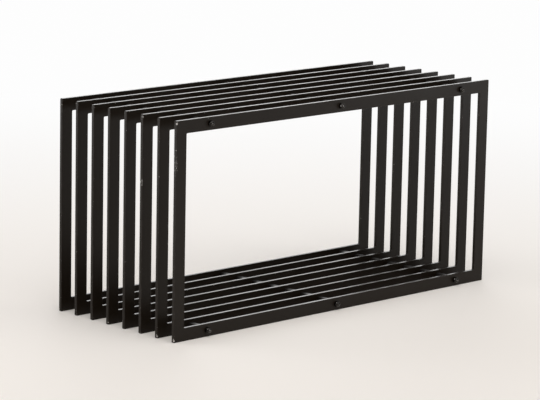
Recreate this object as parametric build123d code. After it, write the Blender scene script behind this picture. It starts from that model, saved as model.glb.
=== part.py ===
from build123d import *
import os

# Firewood rack: upright rectangular steel frames stand one behind the other.
# Six tie lines hold them together, three along the top and three along the bottom.
# On each tie line a threaded rod runs through every frame, a spacer sleeve fills each
# gap between two frames, and a cap nut closes each end of the rod.
#
# Lengths are in millimetres. X runs along the rack, Y from front to back and Z up.
# The origin lies on the floor, under the middle of the rack.

# Driving dimensions of the rack. The depth is taken over the outermost frames.
rack_width = 1020.0
rack_depth = 400.0
rack_height = 500.0

# Driving dimensions of the frames, which are welded from flat bar
frame_count = 8
bar_width = 30.0
bar_thickness = 8.0
bar_edge_bevel = 0.6
frame_corner_bevel = 1.6

# Driving dimensions of the tie lines
tie_inset = 100.0
rod_diameter = 8.0
frame_hole_clearance = 1.0
rod_end_clearance = 1.0

# The spacer sleeves are cut from square tube.
sleeve_side = 15.0
sleeve_wall = 1.5

# The cap nuts: a hexagon that a round cap closes over the end of the rod
nut_across_flats = 13.0
nut_hex_height = 5.5
nut_height = 11.5
nut_cap_diameter = 12.5
nut_bore_depth = 8.0
nut_thread_clearance = 0.2

# The frames share out the depth, and the gaps between them are all alike.
frame_gap = (rack_depth - frame_count * bar_thickness) / (frame_count - 1)
frame_pitch = bar_thickness + frame_gap
front_y = -rack_depth / 2
back_y = rack_depth / 2

# Each tie line goes through the middle of the bar that it crosses.
tie_x = {
    "left": tie_inset - rack_width / 2,
    "middle": 0.0,
    "right": rack_width / 2 - tie_inset,
}
tie_z = {
    "bottom": bar_width / 2,
    "top": rack_height - bar_width / 2,
}
tie_places = {
    f"{level}_{side}": (x, z)
    for level, z in tie_z.items()
    for side, x in tie_x.items()
}


# A drawing plane that stands at the given Y and faces the front. Its own X runs along
# the rack and its own Y runs up, so a negative extrusion goes towards the back.
def upright_plane(y, x=0.0, z=0.0):
    return Plane(origin=(x, y, z), x_dir=(1, 0, 0), z_dir=(0, -1, 0))


# One welded frame: four mitred bars with ground corners and six drilled holes.
def make_frame(y):
    with BuildPart() as frame:
        with BuildSketch(upright_plane(y, z=rack_height / 2)):
            outline = Rectangle(rack_width, rack_height)
            chamfer(outline.vertices(), frame_corner_bevel)
            Rectangle(
                rack_width - 2 * bar_width,
                rack_height - 2 * bar_width,
                mode=Mode.SUBTRACT,
            )
        extrude(amount=-bar_thickness)
        chamfer(frame.faces().filter_by(Axis.Y).edges(), bar_edge_bevel)
        with BuildSketch(upright_plane(y)):
            with Locations(*tie_places.values()):
                Circle((rod_diameter + frame_hole_clearance) / 2)
        extrude(amount=-bar_thickness, mode=Mode.SUBTRACT)
    return frame.part


# The threaded rod of one tie line, which ends inside the bore of each cap nut
def make_rod(x, z):
    reach = nut_bore_depth - rod_end_clearance
    with BuildPart() as rod:
        with BuildSketch(upright_plane(front_y - reach, x, z)):
            Circle(rod_diameter / 2)
        extrude(amount=-(rack_depth + 2 * reach))
    return rod.part


# The spacer sleeves of one tie line, one for each gap between two frames
def make_sleeves(x, z):
    sleeves = []
    for gap in range(frame_count - 1):
        start_y = front_y + bar_thickness + gap * frame_pitch
        with BuildPart() as sleeve:
            with BuildSketch(upright_plane(start_y, x, z)):
                Rectangle(sleeve_side, sleeve_side)
                offset(amount=-sleeve_wall, kind=Kind.INTERSECTION, mode=Mode.SUBTRACT)
            extrude(amount=-frame_gap)
        sleeves.append(sleeve.part)
    return sleeves


# A cap nut that sits on a frame. Outward is -1 on the front frame and 1 on the back.
def make_cap_nut(x, z, seat_y, outward):
    seat = Plane(origin=(x, seat_y, z), x_dir=(1, 0, 0), z_dir=(0, outward, 0))
    with BuildPart() as nut:
        with BuildSketch(seat):
            RegularPolygon(nut_across_flats / 2, 6, major_radius=False)
        extrude(amount=nut_hex_height)
        with BuildSketch(seat):
            Circle(nut_cap_diameter / 2)
        extrude(amount=nut_height)
        with BuildSketch(seat):
            Circle((rod_diameter + nut_thread_clearance) / 2)
        extrude(amount=nut_bore_depth, mode=Mode.SUBTRACT)
    return nut.part


# The cap nuts of one tie line, front and back
def make_cap_nuts(x, z):
    return [
        make_cap_nut(x, z, front_y, -1),
        make_cap_nut(x, z, back_y, 1),
    ]


def save(name, solids):
    shape = solids[0] if len(solids) == 1 else Compound(children=solids)
    export_step(shape, f"parts/{name}.step")


os.makedirs("parts", exist_ok=True)

for number in range(frame_count):
    save(f"frame_{number + 1}", [make_frame(front_y + number * frame_pitch)])

for place, (x, z) in tie_places.items():
    save(f"tie_rod_{place}", [make_rod(x, z)])
    save(f"spacer_sleeves_{place}", make_sleeves(x, z))
    save(f"cap_nuts_{place}", make_cap_nuts(x, z))
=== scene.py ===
# %% [markdown]
# # A firewood rack from eight flat-bar frames
#
# The rack is a row of upright rectangular frames, each welded from flat steel bar. Six
# threaded rods run through all of them. A spacer sleeve fills each gap between two
# frames, and a cap nut closes each end of each rod.
#
# The solids come from a CAD model and are the measure of everything here. This notebook
# gives them the rounded edges, finishes, light and camera that a solid model lacks.
# It starts by loading them, so that their boxes can give the sizes.

# %% Load the solid model
import math

import bmesh
import bpy
from mathutils import Euler, Matrix, Vector


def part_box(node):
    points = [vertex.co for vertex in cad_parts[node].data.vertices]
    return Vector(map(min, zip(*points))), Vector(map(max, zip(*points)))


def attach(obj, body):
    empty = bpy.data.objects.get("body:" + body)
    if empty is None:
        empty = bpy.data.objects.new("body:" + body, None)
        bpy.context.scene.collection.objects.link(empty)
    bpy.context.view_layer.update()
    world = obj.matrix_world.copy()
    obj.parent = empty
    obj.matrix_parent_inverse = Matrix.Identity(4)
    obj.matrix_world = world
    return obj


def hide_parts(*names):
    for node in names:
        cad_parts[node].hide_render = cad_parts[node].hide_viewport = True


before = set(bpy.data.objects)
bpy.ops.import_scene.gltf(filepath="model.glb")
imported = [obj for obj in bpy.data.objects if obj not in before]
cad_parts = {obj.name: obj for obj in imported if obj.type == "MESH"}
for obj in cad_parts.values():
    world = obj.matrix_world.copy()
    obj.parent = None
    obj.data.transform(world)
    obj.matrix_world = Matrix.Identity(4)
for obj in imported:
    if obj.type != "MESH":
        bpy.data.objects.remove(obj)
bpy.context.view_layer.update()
print("CAD nodes:", len(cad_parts))

# %% [markdown]
# ## Sizes
#
# A size that a box can tell isn't typed here. The boxes of the CAD nodes give the
# frames' width, height and thickness, the step from one frame to the next, and the place
# of each tie line. Each tie line runs through the middle of the bar it crosses, so the
# height of the lowest one above the floor is half a bar's width. What no box can tell,
# such as the size of a hole or of a round corner, is named once, in its piece's cell.

# %% Measure the frames and the tie lines
front_low, front_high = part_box("frame_1")
second_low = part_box("frame_2")[0]
rack_width = front_high.x - front_low.x
rack_height = front_high.z - front_low.z
bar_thickness = front_high.y - front_low.y
frame_pitch = second_low.y - front_low.y
frame_gap = frame_pitch - bar_thickness
frame_names = sorted(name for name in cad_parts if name.startswith("frame_"))

tie_lines = {}
for name in sorted(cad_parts):
    if name.startswith("tie_rod_"):
        low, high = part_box(name)
        tie_lines[name.removeprefix("tie_rod_")] = (low + high) / 2

bar_width = 2 * min(centre.z for centre in tie_lines.values())
print("frames:", len(frame_names), "pitch:", round(frame_pitch, 4), "bar:", round(bar_width, 4))
print("tie lines:", list(tie_lines))

# %% [markdown]
# ## Plates from outlines
#
# A frame is a flat plate with a large window and six holes, and a spacer is a square
# ring drawn out long. So both start as flat outlines: rectangles with round corners,
# and circles. Every bend in them is an arc, which one helper walks along in even steps.

# %% Draw outlines from arcs
corner_steps = 6
circle_steps = 48


def arc(centre_x, centre_y, radius, start, turn, steps):
    return [
        (
            centre_x + radius * math.cos(start + turn * step / steps),
            centre_y + radius * math.sin(start + turn * step / steps),
        )
        for step in range(steps + 1)
    ]


def rounded_rectangle(width, height, radius):
    quarter = math.pi / 2
    points = []
    for corner, (side_x, side_y) in enumerate([(1, 1), (-1, 1), (-1, -1), (1, -1)]):
        centre_x = side_x * (width / 2 - radius)
        centre_y = side_y * (height / 2 - radius)
        points += arc(centre_x, centre_y, radius, corner * quarter, quarter, corner_steps)
    return points


def circle(centre_x, centre_y, radius):
    full_turn = 2 * math.pi
    return arc(centre_x, centre_y, radius, 0, full_turn, circle_steps)[:-1]


print("points of a round corner:", corner_steps + 1, "points of a hole:", circle_steps)

# %% [markdown]
# A plate could be a box with other boxes taken out by booleans, but boolean edges are
# razor sharp, and real steel never is. A flat curve object does better: Blender fills
# the area between its outlines, gives it thickness with Extrude and rolls every rim
# with Bevel. The negative offset keeps the rolled rim inside the drawn size.

# %% Turn outlines into plates
rim_steps = 2


def plate(outlines, thickness, rim_radius):
    curve = bpy.data.curves.new("plate outline", "CURVE")
    curve.dimensions = "2D"
    curve.fill_mode = "BOTH"
    curve.extrude = thickness / 2 - rim_radius
    curve.bevel_depth = rim_radius
    curve.bevel_resolution = rim_steps
    curve.offset = -rim_radius
    for outline in outlines:
        spline = curve.splines.new("POLY")
        spline.points.add(len(outline) - 1)
        for point, (x, y) in zip(spline.points, outline):
            point.co = (x, y, 0, 1)
        spline.use_cyclic_u = True
    holder = bpy.data.objects.new("plate outline", curve)
    mesh = bpy.data.meshes.new_from_object(holder)
    bpy.data.objects.remove(holder)
    bpy.data.curves.remove(curve)
    return mesh


print("extra points across a rolled rim:", rim_steps)

# %% [markdown]
# The plate lies flat when it comes out of the curve. A quarter turn about X stands it
# up, so that its own Y becomes the height. The fill and the rolled rims come as loose
# strips, so the doubled points are welded: after that the mesh is closed, and shading
# can run smoothly from the flat into the rim. A Weighted Normal modifier then lets the
# big flat faces decide the shading, which keeps them flat up to the rim.

# %% Gather meshes into one finished piece
stand_up = Matrix.Rotation(math.pi / 2, 4, "X")
weld_distance = 0.00001
sharp_angle = math.radians(40)


def make_piece(name, meshes_and_places, cad_node):
    gathered = bmesh.new()
    for mesh, place in meshes_and_places:
        part = bmesh.new()
        part.from_mesh(mesh)
        bmesh.ops.remove_doubles(part, verts=part.verts, dist=weld_distance)
        bmesh.ops.recalc_face_normals(part, faces=part.faces)
        bmesh.ops.transform(part, matrix=place, verts=part.verts)
        placed = bpy.data.meshes.new(name)
        part.to_mesh(placed)
        part.free()
        gathered.from_mesh(placed)
        bpy.data.meshes.remove(placed)
    mesh = bpy.data.meshes.new(name)
    gathered.to_mesh(mesh)
    gathered.free()
    mesh.shade_smooth()
    mesh.set_sharp_from_angle(angle=sharp_angle)
    piece = bpy.data.objects.new(name, mesh)
    bpy.context.scene.collection.objects.link(piece)
    flats = piece.modifiers.new("keep flats flat", "WEIGHTED_NORMAL")
    flats.keep_sharp = True
    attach(piece, "root")
    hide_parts(cad_node)
    return piece


print("weld distance:", weld_distance, "sharp above:", round(math.degrees(sharp_angle)), "degrees")

# %% [markdown]
# ## The frames
#
# All eight frames have the same outlines. The outer corners are ground to a small radius
# after welding, the weld leaves its own small round in the corners of the window, and
# six holes are drilled for the rods. Each frame gets its own mesh with the place baked
# into its points. That way the textures, which read the points' coordinates, never
# repeat from one frame to the next.

# %% Build the eight frames
outer_corner_radius = 0.0028
inner_corner_radius = 0.0026
bar_rim_radius = 0.0006
rod_hole_radius = 0.0045


def frame_outlines():
    outlines = [
        rounded_rectangle(rack_width, rack_height, outer_corner_radius),
        rounded_rectangle(
            rack_width - 2 * bar_width,
            rack_height - 2 * bar_width,
            inner_corner_radius,
        ),
    ]
    for centre in tie_lines.values():
        outlines.append(circle(centre.x, centre.z - rack_height / 2, rod_hole_radius))
    return outlines


frame_mesh = plate(frame_outlines(), bar_thickness, bar_rim_radius)
frames = []
for name in frame_names:
    low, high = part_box(name)
    place = Matrix.Translation((0, (low.y + high.y) / 2, rack_height / 2)) @ stand_up
    frames.append(make_piece(name + "_bar", [(frame_mesh, place)], name))
print("frame points:", len(frames[0].data.vertices), "faces:", len(frames[0].data.polygons))

# %% [markdown]
# ## The spacer sleeves
#
# Each sleeve is a short length of square tube with softly rounded corners, as drawn
# tube has. It is the same kind of plate as the frame, with one window and a much larger
# thickness. The seven sleeves of one tie line become one object, because they share a
# CAD node.

# %% Build the sleeves in the gaps
sleeve_low, sleeve_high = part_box("spacer_sleeves_top_middle")
sleeve_side = sleeve_high.x - sleeve_low.x
sleeve_length = frame_gap
sleeve_wall = 0.0015
sleeve_corner_radius = 0.0022
sleeve_rim_radius = 0.0002

sleeve_window = sleeve_side - 2 * sleeve_wall
sleeve_mesh = plate(
    [
        rounded_rectangle(sleeve_side, sleeve_side, sleeve_corner_radius),
        rounded_rectangle(sleeve_window, sleeve_window, sleeve_corner_radius - sleeve_wall),
    ],
    sleeve_length,
    sleeve_rim_radius,
)
sleeves = []
for place_name, centre in tie_lines.items():
    places = []
    for gap in range(len(frame_names) - 1):
        middle_y = front_high.y + sleeve_length / 2 + gap * frame_pitch
        spot = Matrix.Translation((centre.x, middle_y, centre.z))
        places.append((sleeve_mesh, spot @ stand_up))
    node = "spacer_sleeves_" + place_name
    sleeves.append(make_piece(node + "_tube", places, node))
print("sleeve objects:", len(sleeves), "sleeve length:", round(sleeve_length, 4))

# %% [markdown]
# ## The cap nuts
#
# A cap nut is a hexagon with a dome, and its hexagon is turned off at a slant where it
# meets the dome and the seat. That slant leaves the shallow arcs on the six flats that
# make a nut look like a nut. Here the nut is a stack of rings. Each ring has a radius
# and a height for every angle, so one formula gives the flats, the arcs and the dome,
# and a loop stitches each ring to the next one.

# %% Describe a cap nut as rings
nut_low, nut_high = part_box("cap_nuts_top_middle")
nut_flats = nut_high.z - nut_low.z
nut_height = front_low.y - nut_low.y
nut_hex_height = 0.0055
nut_dome_radius = 0.00625
nut_corner_radius = 0.0073
nut_bore_radius = 0.0041
nut_bore_depth = 0.008
nut_countersink = 0.0004
slant_angle = math.radians(30)
dome_rings = 9


def hex_radius(angle):
    sixth = math.pi / 3
    from_flat = (angle + sixth / 2) % sixth - sixth / 2
    return min(nut_flats / 2 / math.cos(from_flat), nut_corner_radius)


def slant_drop(angle):
    return (hex_radius(angle) - nut_dome_radius) * math.tan(slant_angle)


def round_ring(radius, height):
    return (lambda angle: radius, lambda angle: height)


def nut_rings():
    rings = [
        round_ring(nut_bore_radius, nut_bore_depth),
        round_ring(nut_bore_radius, nut_countersink),
        round_ring(nut_bore_radius + nut_countersink, 0),
        round_ring(nut_dome_radius, 0),
        (hex_radius, slant_drop),
        (hex_radius, lambda angle: nut_hex_height - slant_drop(angle)),
    ]
    dome_centre = nut_height - nut_dome_radius
    lowest = math.asin((nut_hex_height - dome_centre) / nut_dome_radius)
    for step in range(dome_rings):
        rise = lowest + (math.pi / 2 - lowest) * step / dome_rings
        radius = nut_dome_radius * math.cos(rise)
        rings.append(round_ring(radius, dome_centre + nut_dome_radius * math.sin(rise)))
    return rings


print("rings in a nut:", len(nut_rings()))

# %% [markdown]
# Each ring gets the same number of points, so a plain loop can span a face between two
# points of one ring and two of the next. The first and last ring are closed with a fan
# of triangles: one at the bottom of the blind bore, one at the crown of the dome.

# %% Stitch the rings
nut_steps = 120


def nut_mesh(turn):
    build = bmesh.new()
    angles = [2 * math.pi * step / nut_steps for step in range(nut_steps)]
    loops = []
    for radius_at, height_at in nut_rings():
        loop = []
        for angle in angles:
            across = radius_at(angle) * math.cos(angle + turn)
            up = radius_at(angle) * math.sin(angle + turn)
            loop.append(build.verts.new((across, up, height_at(angle))))
        loops.append(loop)
    for lower, upper in zip(loops, loops[1:]):
        for step in range(nut_steps):
            after = (step + 1) % nut_steps
            build.faces.new((lower[step], lower[after], upper[after], upper[step]))
    for loop, height in [(loops[0], nut_bore_depth), (loops[-1], nut_height)]:
        pole = build.verts.new((0, 0, height))
        for step in range(nut_steps):
            build.faces.new((loop[step], loop[(step + 1) % nut_steps], pole))
    mesh = bpy.data.meshes.new("cap nut")
    build.to_mesh(mesh)
    build.free()
    return mesh


print("points in a ring:", nut_steps)

# %% [markdown]
# A nut sits on each end of each rod, one on the front frame and one on the back frame.
# Each nut stops at its own angle when it is tightened, so each gets its own turn. A step
# of the golden angle spreads the turns without any two looking alike.

# %% Screw the nuts on
golden_angle = math.radians(137.5)

cap_nuts = []
back_y = front_low.y + (len(frame_names) - 1) * frame_pitch + bar_thickness
for index, (place_name, centre) in enumerate(tie_lines.items()):
    front = Matrix.Translation((centre.x, front_low.y, centre.z)) @ stand_up
    back = Matrix.Translation((centre.x, back_y, centre.z)) @ stand_up.inverted()
    node = "cap_nuts_" + place_name
    pair = [
        (nut_mesh(2 * index * golden_angle), front),
        (nut_mesh((2 * index + 1) * golden_angle), back),
    ]
    cap_nuts.append(make_piece(node + "_dome", pair, node))
print("cap nut objects:", len(cap_nuts), "nut height:", round(nut_height, 4))

# %% [markdown]
# ## Building materials from nodes
#
# Every finish below is a small network of texture nodes around one Principled BSDF. A
# few helpers keep the networks readable. A socket takes a plain value or another node's
# output, and all of them lean on one function that fills sockets with either. A plain
# value is always set on the shader's own socket, where an exported model can find it.

# %% Fill sockets, add nodes and start a material
def set_inputs(tree, node, values):
    for name, value in values.items():
        socket = node.inputs[name]
        if isinstance(value, bpy.types.NodeSocket):
            tree.links.new(value, socket)
        else:
            socket.default_value = value


def add_node(tree, kind, inputs=None, **settings):
    node = tree.nodes.new(kind)
    for name, value in settings.items():
        setattr(node, name, value)
    set_inputs(tree, node, inputs or {})
    return node


def start_material(name):
    material = bpy.data.materials.new(name)
    material.use_nodes = True
    tree = material.node_tree
    tree.nodes.clear()
    shader = add_node(tree, "ShaderNodeBsdfPrincipled")
    add_node(tree, "ShaderNodeOutputMaterial", {"Surface": shader.outputs[0]})
    places = add_node(tree, "ShaderNodeTexCoord").outputs["Object"]
    return material, tree, shader, places


print("materials before the first finish:", len(bpy.data.materials))

# %% [markdown]
# The texture coordinates above are the points' own places in metres. The next helpers
# work on them: sums, soft steps, distances and noise. Noise hardly leaves its middle
# range, so one helper spreads that range between two values.

# %% Work with numbers and noise
noise_low = 0.3
noise_high = 0.7


def calculate(tree, operation, first, second=0.0):
    node = add_node(tree, "ShaderNodeMath", {0: first, 1: second}, operation=operation)
    return node.outputs[0]


def blend_range(tree, value, start, end, low=0.0, high=1.0):
    node = add_node(
        tree,
        "ShaderNodeMapRange",
        {"Value": value, "From Min": start, "From Max": end, "To Min": low, "To Max": high},
        interpolation_type="SMOOTHSTEP",
    )
    return node.outputs["Result"]


def noise(tree, places, scale, detail=2.0):
    node = add_node(
        tree,
        "ShaderNodeTexNoise",
        {"Vector": places, "Scale": scale, "Detail": detail},
    )
    return node.outputs["Fac"]


def spread_noise(tree, value, low, high):
    return blend_range(tree, value, noise_low, noise_high, low, high)


def stretch(tree, places, factors):
    node = add_node(tree, "ShaderNodeMapping", {"Vector": places, "Scale": factors})
    return node.outputs[0]


def distance_to(tree, places, point):
    node = add_node(
        tree,
        "ShaderNodeVectorMath",
        {0: places, 1: point},
        operation="DISTANCE",
    )
    return node.outputs["Value"]


print("noise is spread from", noise_low, "to", noise_high)

# %% [markdown]
# Two more helpers turn such numbers into looks. One mixes two colours. The Mix node has
# a set of sockets for each kind of data, so its colour sockets are found by their
# number. The other makes the light treat the surface as if it rose and sank a little,
# which is enough for anything too fine to be a shape of its own.

# %% Mix colours and raise bumps
first_colour = 6
second_colour = 7
mixed_colour = 2


def mix_colours(tree, share, first, second):
    inputs = {0: share, first_colour: first, second_colour: second}
    node = add_node(tree, "ShaderNodeMix", inputs, data_type="RGBA")
    return node.outputs[mixed_colour]


def bump(tree, height, strength, depth, under=None, sunk=False):
    inputs = {"Height": height, "Strength": strength, "Distance": depth}
    if under is not None:
        inputs["Normal"] = under
    node = add_node(tree, "ShaderNodeBump", inputs, invert=sunk)
    return node.outputs[0]


print("colour sockets of the Mix node:", first_colour, "and", second_colour)

# %% [markdown]
# ## Where a bar has edges
#
# Powder coat wears at the edges first, so the material has to know how far each point
# is from one. The frames are regular enough to work that out from coordinates. Measured
# in the plane of the frame, a point lies some distance inside the outline, and the
# window's rim is one bar width further in. Measured through the frame, it lies some
# distance behind the front face or before the back face. On the surface one of the two
# is always nought, so their sum is the distance to the nearest edge. An outer corner is
# where a side and the top or bottom are both close, so the larger of those two distances
# tells how near it is.

# %% Distance to the nearest edge and outer corner of a frame
def frame_edges(tree, places):
    split = add_node(tree, "ShaderNodeSeparateXYZ", {"Vector": places})
    x, y, z = split.outputs
    from_side = calculate(tree, "SUBTRACT", rack_width / 2, calculate(tree, "ABSOLUTE", x))
    off_middle = calculate(tree, "ABSOLUTE", calculate(tree, "SUBTRACT", z, rack_height / 2))
    from_top = calculate(tree, "SUBTRACT", rack_height / 2, off_middle)
    from_outline = calculate(tree, "MINIMUM", from_side, from_top)
    from_window = calculate(tree, "SUBTRACT", bar_width, from_outline)
    in_plane = calculate(tree, "MINIMUM", from_outline, from_window)

    shifted = calculate(tree, "ADD", y, frame_gap / 2 - front_low.y)
    in_step = calculate(tree, "MODULO", shifted, frame_pitch)
    off_centre = calculate(tree, "ABSOLUTE", calculate(tree, "SUBTRACT", in_step, frame_pitch / 2))
    through = calculate(tree, "SUBTRACT", bar_thickness / 2, off_centre)
    edge = calculate(tree, "ADD", in_plane, through)
    corner = calculate(tree, "MAXIMUM", from_side, from_top)
    return edge, corner


print("gap between two frames:", round(frame_gap, 4))

# %% [markdown]
# ## Where the rack was knocked
#
# The left ends of a few frames have lost a speck of coat, mostly right at the corner.
# Noise alone would put such specks anywhere, so each knock is a point with a reach and
# a force. Near it, noise that would stay under the chipping level is lifted over it. A
# knock has its full force in its core, which is a share of its reach, and fades outside.
# All of them sit on the left narrow faces, a little behind the front edge.

# %% Places of the knocks
corner_rise = 0.006
knock_inset = bar_thickness / 4
core_share = 0.3
knocks = [
    {"frame": 1, "height": rack_height - corner_rise, "reach": 0.006, "force": 0.28},
    {"frame": 1, "height": corner_rise, "reach": 0.006, "force": 0.28},
    {"frame": 2, "height": corner_rise, "reach": 0.006, "force": 0.26},
    {"frame": 3, "height": rack_height - corner_rise, "reach": 0.005, "force": 0.26},
    {"frame": 5, "height": corner_rise, "reach": 0.005, "force": 0.26},
    {"frame": 1, "height": 0.40, "reach": 0.040, "force": 0.13},
    {"frame": 3, "height": 0.345, "reach": 0.015, "force": 0.14},
]


def knock_force(tree, places):
    total = 0.0
    for knock in knocks:
        front_edge = front_low.y + (knock["frame"] - 1) * frame_pitch
        centre = (-rack_width / 2, front_edge + knock_inset, knock["height"])
        away = distance_to(tree, places, centre)
        core = core_share * knock["reach"]
        force = blend_range(tree, away, core, knock["reach"], knock["force"], 0.0)
        total = calculate(tree, "MAXIMUM", force, total)
    return total


print("knocks:", len(knocks))

# %% [markdown]
# ## Rubbed edges with a painted sheen, and chips
#
# Two masks say how worn the coat is, and each gives a number from 0 to 1 at every point.
# The first is for rubbing, and it also paints a sheen. Handling thins the coat close to
# the edges, but only in patches, so a cloudy noise decides where it counts. The lighter
# colour it brings to the edges is partly that thin coat and partly a painted sheen.

# %% Mask the rubbed edges and their painted sheen
patch_scale = 60.0
patch_start = 0.4
patch_end = 0.7
rub_and_sheen_full = 0.0002
rub_and_sheen_reach = 0.0016


# This mask also places a painted sheen: it lightens the colour along the edges.
def rub_and_sheen_mask(tree, places, edge):
    near_edge = blend_range(tree, edge, rub_and_sheen_full, rub_and_sheen_reach, 1.0, 0.0)
    cloud = noise(tree, places, patch_scale, detail=4.0)
    patches = blend_range(tree, cloud, patch_start, patch_end)
    return calculate(tree, "MULTIPLY", near_edge, patches)


print("rubbed up to", rub_and_sheen_reach, "m from an edge")

# %% [markdown]
# The second mask is for chips, which go right through the coat. A chip opens where a
# fine noise passes a level, and only within a few millimetres of an edge. Knocks and
# outer corners lift the noise towards that level.

# %% Mask the chips
chip_scale = 330.0
chip_start = 0.71
chip_end = 0.74
chip_full = 0.0008
chip_reach = 0.004
corner_full = 0.004
corner_reach = 0.035
corner_lift = 0.04


def chip_mask(tree, places, edge, corner):
    at_corner = blend_range(tree, corner, corner_full, corner_reach, corner_lift, 0.0)
    lift = calculate(tree, "MAXIMUM", at_corner, knock_force(tree, places))
    level = calculate(tree, "ADD", noise(tree, places, chip_scale, detail=3.0), lift)
    chipped = blend_range(tree, level, chip_start, chip_end)
    near_edge = blend_range(tree, edge, chip_full, chip_reach, 1.0, 0.0)
    return calculate(tree, "MULTIPLY", chipped, near_edge)


print("chipped up to", chip_reach, "m from an edge")

# %% [markdown]
# ## Powder coat
#
# The frames are coated in matt black powder. Up close the coat is a fine orange peel,
# and from a step away it is an even, slightly warm black that turns pale only where the
# light grazes it. So the colour hardly changes, and the life is in the roughness and
# the bump. A little of the coat is rubbed thin along the edges, and the lighter colour
# there is partly that wear and partly a painted sheen. The chips show bare steel. The
# low index of refraction keeps faces that are seen head on dark, while faces
# that are seen at a shallow angle still shine.

# %% Make the powder coat
coat_dark = (0.0072, 0.0045, 0.0024, 1)
coat_light = (0.0102, 0.0066, 0.0036, 1)
# Lighter colour along the edges: partly rubbed-thin coat, partly a painted sheen.
coat_rubbed_and_sheen = (0.030, 0.026, 0.023, 1)
bare_steel = (0.50, 0.48, 0.46, 1)
coat_refraction = 1.26
coat_roughness = {"low": 0.27, "high": 0.33}
smudge_scale = 9.0
peel_scale = 700.0
peel_dulling = 0.05
rub_polish = 0.05


def coat_roughness_at(tree, smudges, peel, rub_and_sheen):
    roughness = spread_noise(tree, smudges, **coat_roughness)
    dulled = calculate(tree, "MULTIPLY", peel, peel_dulling)
    polished = calculate(tree, "MULTIPLY", rub_and_sheen, rub_polish)
    roughness = calculate(tree, "ADD", roughness, dulled)
    return calculate(tree, "SUBTRACT", roughness, polished)


def make_powder_coat():
    material, tree, shader, places = start_material("black powder coat")
    edge, corner = frame_edges(tree, places)
    smudges = noise(tree, places, smudge_scale, detail=3.0)
    peel = noise(tree, places, peel_scale)
    rub_and_sheen = rub_and_sheen_mask(tree, places, edge)
    chips = chip_mask(tree, places, edge, corner)

    coat = mix_colours(tree, smudges, coat_dark, coat_light)
    # The coat turns lighter near the edges: partly rubbed wear, partly a painted sheen.
    worn_and_sheen = mix_colours(tree, rub_and_sheen, coat, coat_rubbed_and_sheen)
    orange_peel = bump(tree, peel, strength=0.25, depth=0.00004)
    set_inputs(
        tree,
        shader,
        {
            "Base Color": mix_colours(tree, chips, worn_and_sheen, bare_steel),
            "Metallic": chips,
            "IOR": coat_refraction,
            "Roughness": coat_roughness_at(tree, smudges, peel, rub_and_sheen),
            "Normal": bump(tree, chips, strength=0.6, depth=0.0001, under=orange_peel, sunk=True),
        },
    )
    return material


powder_coat = make_powder_coat()
print(powder_coat.name, "nodes:", len(powder_coat.node_tree.nodes))

# %% [markdown]
# ## Paint on the sleeves
#
# The sleeves are short cuts of tube with a plain coat of black paint. Sprayed paint on
# drawn tube keeps a trace of the drawing lines along its length, so this bump is a noise
# that is stretched along Y.

# %% Make the sleeve paint
paint_dark = (0.0070, 0.0056, 0.0048, 1)
paint_light = (0.0120, 0.0096, 0.0082, 1)
paint_roughness = {"low": 0.38, "high": 0.52}
paint_cloud_scale = 40.0
drawing_line_scale = 900.0
drawing_line_stretch = (1.0, 0.05, 1.0)


def make_sleeve_paint():
    material, tree, shader, places = start_material("black tube paint")
    cloud = noise(tree, places, paint_cloud_scale, detail=3.0)
    along = stretch(tree, places, drawing_line_stretch)
    lines = noise(tree, along, drawing_line_scale, detail=3.0)
    set_inputs(
        tree,
        shader,
        {
            "Base Color": mix_colours(tree, cloud, paint_dark, paint_light),
            "Roughness": spread_noise(tree, cloud, **paint_roughness),
            "IOR": coat_refraction,
            "Normal": bump(tree, lines, strength=0.3, depth=0.00005),
        },
    )
    return material


sleeve_paint = make_sleeve_paint()
print(sleeve_paint.name, "nodes:", len(sleeve_paint.node_tree.nodes))

# %% [markdown]
# ## Black plating on the nuts
#
# The nuts are harder and smoother than the bars, and they are bought plated. Their
# black is a thin metal finish, so they are metal with a very dark tint, and their
# dome gives back small bright highlights where the bars give only a sheen. Fine
# scratches from the spanner break the highlight up.

# %% Make the nut finish
plating_dark = (0.030, 0.028, 0.026, 1)
plating_light = (0.060, 0.056, 0.052, 1)
plating_roughness = {"low": 0.18, "high": 0.27}
plating_cloud_scale = 220.0
scratch_scale = 1500.0
scratch_stretch = (1.0, 1.0, 7.0)


def make_nut_finish():
    material, tree, shader, places = start_material("black plated steel")
    cloud = noise(tree, places, plating_cloud_scale, detail=3.0)
    scratches = noise(tree, stretch(tree, places, scratch_stretch), scratch_scale)
    set_inputs(
        tree,
        shader,
        {
            "Base Color": mix_colours(tree, cloud, plating_dark, plating_light),
            "Metallic": 1.0,
            "Roughness": spread_noise(tree, cloud, **plating_roughness),
            "Normal": bump(tree, scratches, strength=0.2, depth=0.00003),
        },
    )
    return material


nut_finish = make_nut_finish()
print(nut_finish.name, "nodes:", len(nut_finish.node_tree.nodes))

# %% [markdown]
# ## Zinc on the rods
#
# The rods are hidden in the sleeves and nuts, yet they are real pieces and keep their
# CAD solids. Their thread is far too fine to model along 0.4 m of rod. A wave texture
# with bands along Y gives its ridges as bump: one band for each turn of the thread.
# Blender's wave repeats every pi / 10 units at a scale of one, hence the formula.

# %% Make the rod finish
thread_pitch = 0.00125
thread_depth = 0.0006
wave_repeat = math.pi / 10
zinc_dull = (0.42, 0.43, 0.45, 1)
zinc_bright = (0.58, 0.59, 0.60, 1)
zinc_roughness = {"low": 0.25, "high": 0.42}
zinc_cloud_scale = 150.0


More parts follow.
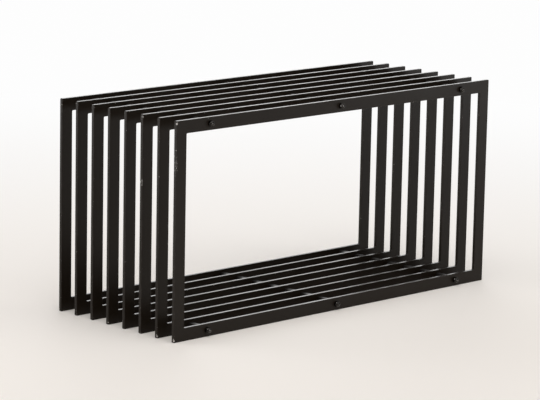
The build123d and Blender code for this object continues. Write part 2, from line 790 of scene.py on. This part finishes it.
def make_rod_steel():
    material, tree, shader, places = start_material("zinc plated thread")
    cloud = noise(tree, places, zinc_cloud_scale, detail=3.0)
    ridges = add_node(
        tree,
        "ShaderNodeTexWave",
        {"Vector": places, "Scale": wave_repeat / thread_pitch},
        wave_type="BANDS",
        bands_direction="Y",
        wave_profile="TRI",
    )
    set_inputs(
        tree,
        shader,
        {
            "Base Color": mix_colours(tree, cloud, zinc_dull, zinc_bright),
            "Metallic": 1.0,
            "Roughness": spread_noise(tree, cloud, **zinc_roughness),
            "Normal": bump(tree, ridges.outputs["Fac"], strength=0.8, depth=thread_depth),
        },
    )
    return material


rod_steel = make_rod_steel()
print(rod_steel.name, "nodes:", len(rod_steel.node_tree.nodes))

# %% [markdown]
# ## Dressing the pieces
#
# Each piece gets one finish. The CAD rods keep their own mesh, so only the material in
# their slot changes.

# %% Assign the finishes
for pieces, material in [
    (frames, powder_coat),
    (sleeves, sleeve_paint),
    (cap_nuts, nut_finish),
]:
    for piece in pieces:
        piece.data.materials.append(material)

for name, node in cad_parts.items():
    if name.startswith("tie_rod_"):
        for material_slot in node.material_slots:
            material_slot.material = rod_steel
print("materials:", [material.name for material in bpy.data.materials if material.users])

# %% [markdown]
# ## The floor
#
# The rack stands in a bright studio on a pale, slightly warm floor. Close to the rack
# the floor is an ordinary matt surface, lit by the lamps, so that it catches the
# shadow. Further out the camera and the reflections see it fade to plain white, which
# a Light Path node arranges without adding any light to the rack.

# %% Make the floor's finish
floor_colour = (0.90, 0.88, 0.86, 1)
floor_roughness = 0.75
floor_grain_scale = 30.0
fade_centre = (-0.7, -0.75, 0)
fade_start = 0.7
fade_end = 4.1
white_strength = 0.985


def seen_share(tree):
    light_path = add_node(tree, "ShaderNodeLightPath")
    share = calculate(
        tree, "MAXIMUM", light_path.outputs["Is Camera Ray"], light_path.outputs["Is Glossy Ray"]
    )
    return calculate(tree, "MAXIMUM", share, light_path.outputs["Is Transmission Ray"])


def make_floor_material():
    material, tree, shader, places = start_material("studio floor")
    grain = noise(tree, places, floor_grain_scale, detail=4.0)
    set_inputs(
        tree,
        shader,
        {
            "Base Color": floor_colour,
            "Roughness": floor_roughness,
            "Normal": bump(tree, grain, strength=0.05, depth=0.001),
        },
    )
    far = blend_range(tree, distance_to(tree, places, fade_centre), fade_start, fade_end)
    share = calculate(tree, "MULTIPLY", far, seen_share(tree))
    white = add_node(
        tree, "ShaderNodeEmission", {"Color": (1, 1, 1, 1), "Strength": white_strength}
    )
    blend = add_node(
        tree, "ShaderNodeMixShader", {0: share, 1: shader.outputs[0], 2: white.outputs[0]}
    )
    output = next(node for node in tree.nodes if node.bl_idname == "ShaderNodeOutputMaterial")
    set_inputs(tree, output, {"Surface": blend.outputs[0]})
    return material


floor_finish = make_floor_material()
print(floor_finish.name, "nodes:", len(floor_finish.node_tree.nodes))

# %% [markdown]
# The floor itself is one square, so large that it has long turned white at its edge,
# where it meets the white wall. It belongs to the studio and not to the rack.

# %% Lay the floor
floor_size = 30.0
reach = floor_size / 2
floor_mesh = bpy.data.meshes.new("floor")
floor_mesh.from_pydata(
    [(-reach, -reach, 0), (reach, -reach, 0), (reach, reach, 0), (-reach, reach, 0)],
    [],
    [(0, 1, 2, 3)],
)
floor = bpy.data.objects.new("floor", floor_mesh)
bpy.context.scene.collection.objects.link(floor)
floor.data.materials.append(floor_finish)
print("floor:", floor_size, "m square")

# %% [markdown]
# ## The light
#
# Black paint shows little of its own colour and mostly what it mirrors, so here each
# lamp has a surface to show. A large soft one hangs high above and mostly lights the
# floor, with a soft shadow on it. The back one stands where the top edges of the bars
# mirror it, and turns them into thin bright lines. Two small ones stand low beside the
# rack, where the bars' left sides and the right end of the front mirror them softly.
# The front one is there for the nuts: it takes no part in the diffuse light, and puts a
# highlight on each dome. A narrow spread keeps a lamp's light on the rack and off the
# floor around it.

# %% Hang the lamps
softboxes = {
    "ceiling": dict(
        place=(-1.3, -0.9, 4.1), target=(-0.3, -0.1, 0.2), size=(3.8, 2.8), power=48
    ),
    "back": dict(
        place=(2.9, 3.1, 1.5), target=(0, 0, 0.5), size=(2.8, 1.6), power=6.6, spread=80
    ),
    "left": dict(
        place=(-2.5, 2.5, 0.6), target=(-0.5, 0, 0.28), size=(1.4, 1.0), power=8, spread=120
    ),
    "right": dict(
        place=(2.85, -2.2, 0.36), target=(0.5, -0.2, 0.3), size=(0.9, 0.66), power=4.5
    ),
    "front": dict(
        place=(-0.4, -4.2, 1.2), target=(0, -0.2, 0.3), size=(0.7, 0.7), power=150
    ),
}


def add_lamp(name, place, target, size, power, spread=180):
    light = bpy.data.lights.new(name, "AREA")
    light.shape = "RECTANGLE"
    light.size, light.size_y = size
    light.energy = power
    light.spread = math.radians(spread)
    lamp = bpy.data.objects.new(name, light)
    bpy.context.scene.collection.objects.link(lamp)
    lamp.location = place
    direction = Vector(target) - Vector(place)
    lamp.rotation_euler = direction.to_track_quat("-Z", "Y").to_euler()
    lamp.visible_camera = False
    return lamp


lamps = {side: add_lamp(side + " softbox", **softbox) for side, softbox in softboxes.items()}
lamps["front"].visible_diffuse = False
print("lamps:", [lamp.name for lamp in lamps.values()])

# %% [markdown]
# The world stands for the walls. What lights the rack and the floor is a soft, slightly
# warm fill that is brighter from the front. It reaches right up to the front bar, so
# the floor there is hardly darker, as in the photograph. What the camera and the
# reflections see is another matter: white on the far side and dark behind the camera,
# as if a black cloth hung there. The Light Path node tells the two kinds of ray apart.

# %% Set the world
front_fill = (0.97, 0.92, 0.86, 1)
back_fill = (0.43, 0.40, 0.375, 1)
fill_turn = 0.6
dark_wall = 0.12
white_wall = 1.0
wall_start = -0.5
wall_end = 0.3


def make_world():
    world = bpy.data.worlds.new("studio walls")
    world.use_nodes = True
    tree = world.node_tree
    tree.nodes.clear()
    directions = add_node(tree, "ShaderNodeTexCoord").outputs["Generated"]
    depth = add_node(tree, "ShaderNodeSeparateXYZ", {"Vector": directions}).outputs["Y"]
    wall = blend_range(tree, depth, wall_start, wall_end, dark_wall, white_wall)
    from_back = blend_range(tree, depth, -fill_turn, fill_turn)
    fill = mix_colours(tree, from_back, front_fill, back_fill)
    colour = mix_colours(tree, seen_share(tree), fill, wall)
    background = add_node(tree, "ShaderNodeBackground", {"Color": colour, "Strength": 1.0})
    add_node(tree, "ShaderNodeOutputWorld", {"Surface": background.outputs[0]})
    return world


scene = bpy.context.scene
scene.world = make_world()
scene.view_settings.view_transform = "Standard"
print("world:", scene.world.name, "view:", scene.view_settings.view_transform)

# %% [markdown]
# ## The camera
#
# The photograph is taken from the front left and a little above, through a long lens
# from about seven metres away, so the frames hardly shrink towards the back. The
# camera's place, lens and slight tilt were worked out from the frames' edges.

# %% Set up the camera
sensor_width = 36.0
lens_length = 186.805
farthest_seen = 60.0
camera_place = Vector((-4.5593, -4.6967, 1.5091))
look_down = math.radians(11.044)
look_right = math.radians(43.965)
tilt = math.radians(1.147)

camera_data = bpy.data.cameras.new("camera")
camera_data.sensor_width = sensor_width
camera_data.lens = lens_length
camera_data.clip_end = farthest_seen
camera = bpy.data.objects.new("camera", camera_data)
scene.collection.objects.link(camera)
heading = Euler((math.pi / 2 - look_down, 0, -look_right)).to_matrix().to_4x4()
camera.matrix_world = (
    Matrix.Translation(camera_place) @ heading @ Matrix.Rotation(tilt, 4, "Z")
)
bpy.context.scene.camera = camera
print("camera distance:", round((camera_place - Vector((0, 0, rack_height / 2))).length, 3))
